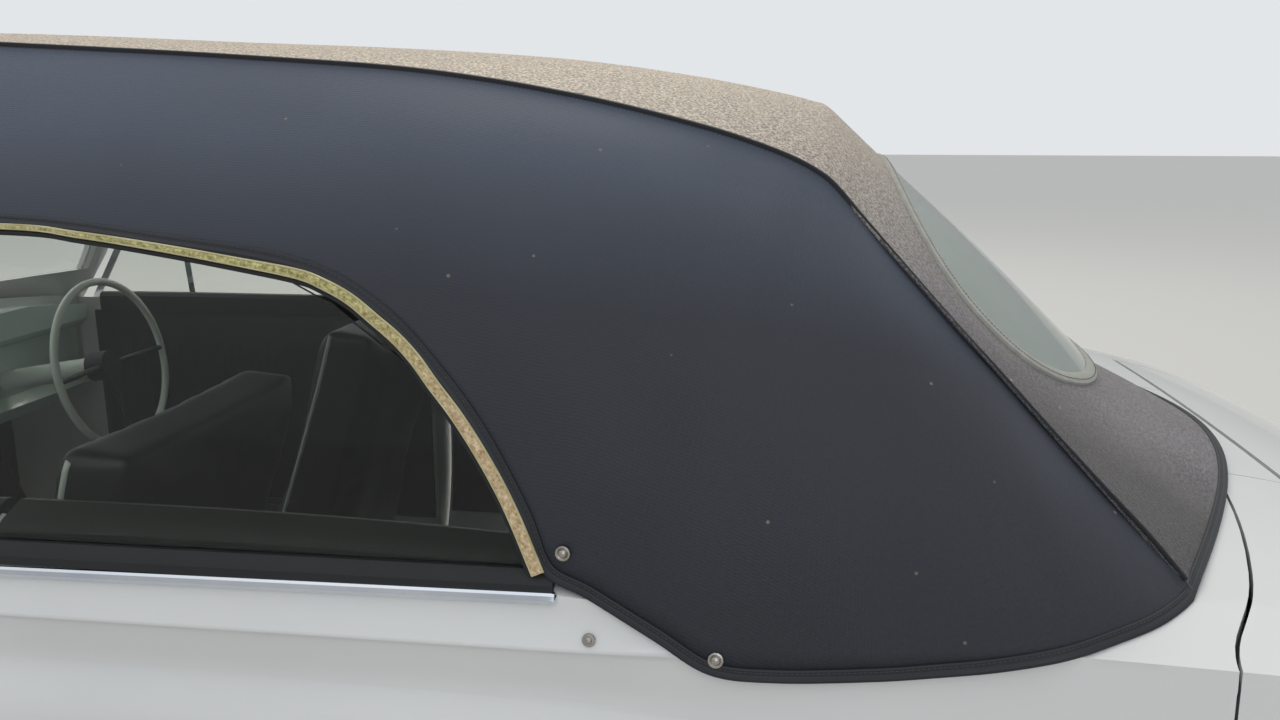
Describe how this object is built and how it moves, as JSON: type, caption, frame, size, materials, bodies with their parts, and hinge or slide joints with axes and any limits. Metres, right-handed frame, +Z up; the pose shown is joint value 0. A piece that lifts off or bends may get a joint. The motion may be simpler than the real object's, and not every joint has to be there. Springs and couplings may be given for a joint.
{
  "type": "convertible car",
  "caption": "Full-size two-door convertible with its black fabric hood up, white body, leaf doors, opening bonnet and boot, and steering road wheels",
  "frame": {"origin": "on the ground, midway along and across the car", "axes": "+X to the rear, +Y to the car's right, +Z up"},
  "size_m": [4.46, 1.662, 1.42],
  "materials": {
    "body_white": null,
    "chassis_black": "black chassis paint",
    "engine_grey": "plain closed block",
    "exhaust_steel": "dull aluminised steel",
    "bright_trim": "polished bright trim",
    "hood_fabric": "charcoal coated hood cloth",
    "glass_tint": "lightly green tinted glass",
    "seat_trim": "dark seat covering with pale piping",
    "dash_paint": "pale gloss fascia",
    "pale_plastic": "pale thin steering wheel",
    "black_plastic": "column, pedals and grips",
    "tyre_black": "road tyres",
    "road_wheel_paint": "painted disc wheels",
    "lamp_glass": "clear headlamp lens",
    "lamp_red": "red rear lens"
  },
  "bodies": {
    "body": {"body_tub": "body_white", "inner_panels": "chassis_black", "front_wings": "body_white", "rear_wings": "body_white", "nose_panel": "body_white", "grille": "bright_trim", "tail_panel": "body_white", "bumper_front": "bright_trim", "bumper_rear": "bright_trim", "headlamps": "lamp_glass", "tail_lamps": "lamp_red", "soft_top": "hood_fabric", "hood_frame": "chassis_black", "rear_window": "glass_tint", "windscreen_frame": "body_white", "windscreen_glass": "glass_tint", "quarter_glass": "glass_tint", "quarter_strips": "bright_trim", "seat_cushions": "seat_trim", "seat_backs": "seat_trim", "seat_bases": "chassis_black", "rear_seat": "seat_trim", "dashboard": "dash_paint", "steering_column": "black_plastic", "controls": "black_plastic", "chassis": "chassis_black", "rear_axle": "chassis_black", "engine": "engine_grey", "exhaust": "exhaust_steel", "fuel_tank": "chassis_black"},
    "door_left": {"door_left": "body_white", "door_glass_left": "glass_tint", "door_trim_left": "bright_trim"},
    "steer_left": {"knuckle_left": "chassis_black"},
    "wheel_front_left": {"wheel_front_left": "road_wheel_paint", "tyre_front_left": "tyre_black"},
    "wheel_rear_left": {"wheel_rear_left": "road_wheel_paint", "tyre_rear_left": "tyre_black"},
    "door_right": {"door_right": "body_white", "door_glass_right": "glass_tint", "door_trim_right": "bright_trim"},
    "steer_right": {"knuckle_right": "chassis_black"},
    "wheel_front_right": {"wheel_front_right": "road_wheel_paint", "tyre_front_right": "tyre_black"},
    "wheel_rear_right": {"wheel_rear_right": "road_wheel_paint", "tyre_rear_right": "tyre_black"},
    "bonnet": {"bonnet": "body_white"},
    "boot_lid": {"boot_lid": "body_white"},
    "steering_wheel": {"steering_wheel": "pale_plastic"}
  },
  "joints": [
    {"name": "steer_left", "type": "hinge", "parent": "body", "child": "steer_left", "pos_m": [-1.4, -0.6, 0.315], "axis": [0, 0, 1], "range_deg": [-32, 32]},
    {"name": "roll_front_left", "type": "hinge", "parent": "steer_left", "child": "wheel_front_left", "pos_m": [-1.4, -0.65, 0.315], "axis": [0, 1, 0], "continuous": true},
    {"name": "roll_rear_left", "type": "hinge", "parent": "body", "child": "wheel_rear_left", "pos_m": [1.1, -0.65, 0.315], "axis": [0, 1, 0], "continuous": true},
    {"name": "door_left_hinge", "type": "hinge", "parent": "body", "child": "door_left", "pos_m": [-0.64, -0.818, 0.55], "axis": [0, 0, -1], "range_deg": [0, 65]},
    {"name": "steer_right", "type": "hinge", "parent": "body", "child": "steer_right", "pos_m": [-1.4, 0.6, 0.315], "axis": [0, 0, 1], "range_deg": [-32, 32]},
    {"name": "roll_front_right", "type": "hinge", "parent": "steer_right", "child": "wheel_front_right", "pos_m": [-1.4, 0.65, 0.315], "axis": [0, 1, 0], "continuous": true},
    {"name": "roll_rear_right", "type": "hinge", "parent": "body", "child": "wheel_rear_right", "pos_m": [1.1, 0.65, 0.315], "axis": [0, 1, 0], "continuous": true},
    {"name": "door_right_hinge", "type": "hinge", "parent": "body", "child": "door_right", "pos_m": [-0.64, 0.818, 0.55], "axis": [0, 0, 1], "range_deg": [0, 65]},
    {"name": "steering_wheel_turn", "type": "hinge", "parent": "body", "child": "steering_wheel", "pos_m": [-0.365, 0.42, 0.775], "axis": [-0.9848, 0, -0.1736], "range_deg": [-520, 520]},
    {"name": "bonnet_hinge", "type": "hinge", "parent": "body", "child": "bonnet", "pos_m": [-0.79, 0, 0.937], "axis": [0, 1, 0], "range_deg": [0, 55]},
    {"name": "boot_lid_hinge", "type": "hinge", "parent": "body", "child": "boot_lid", "pos_m": [1.76, 0, 0.836], "axis": [0, -1, 0], "range_deg": [0, 60]}
  ],
  "couplings": [
    {"joint": "steer_right", "follows": "steer_left", "ratio": 1},
    {"joint": "steering_wheel_turn", "follows": "steer_left", "ratio": -16}
  ]
}
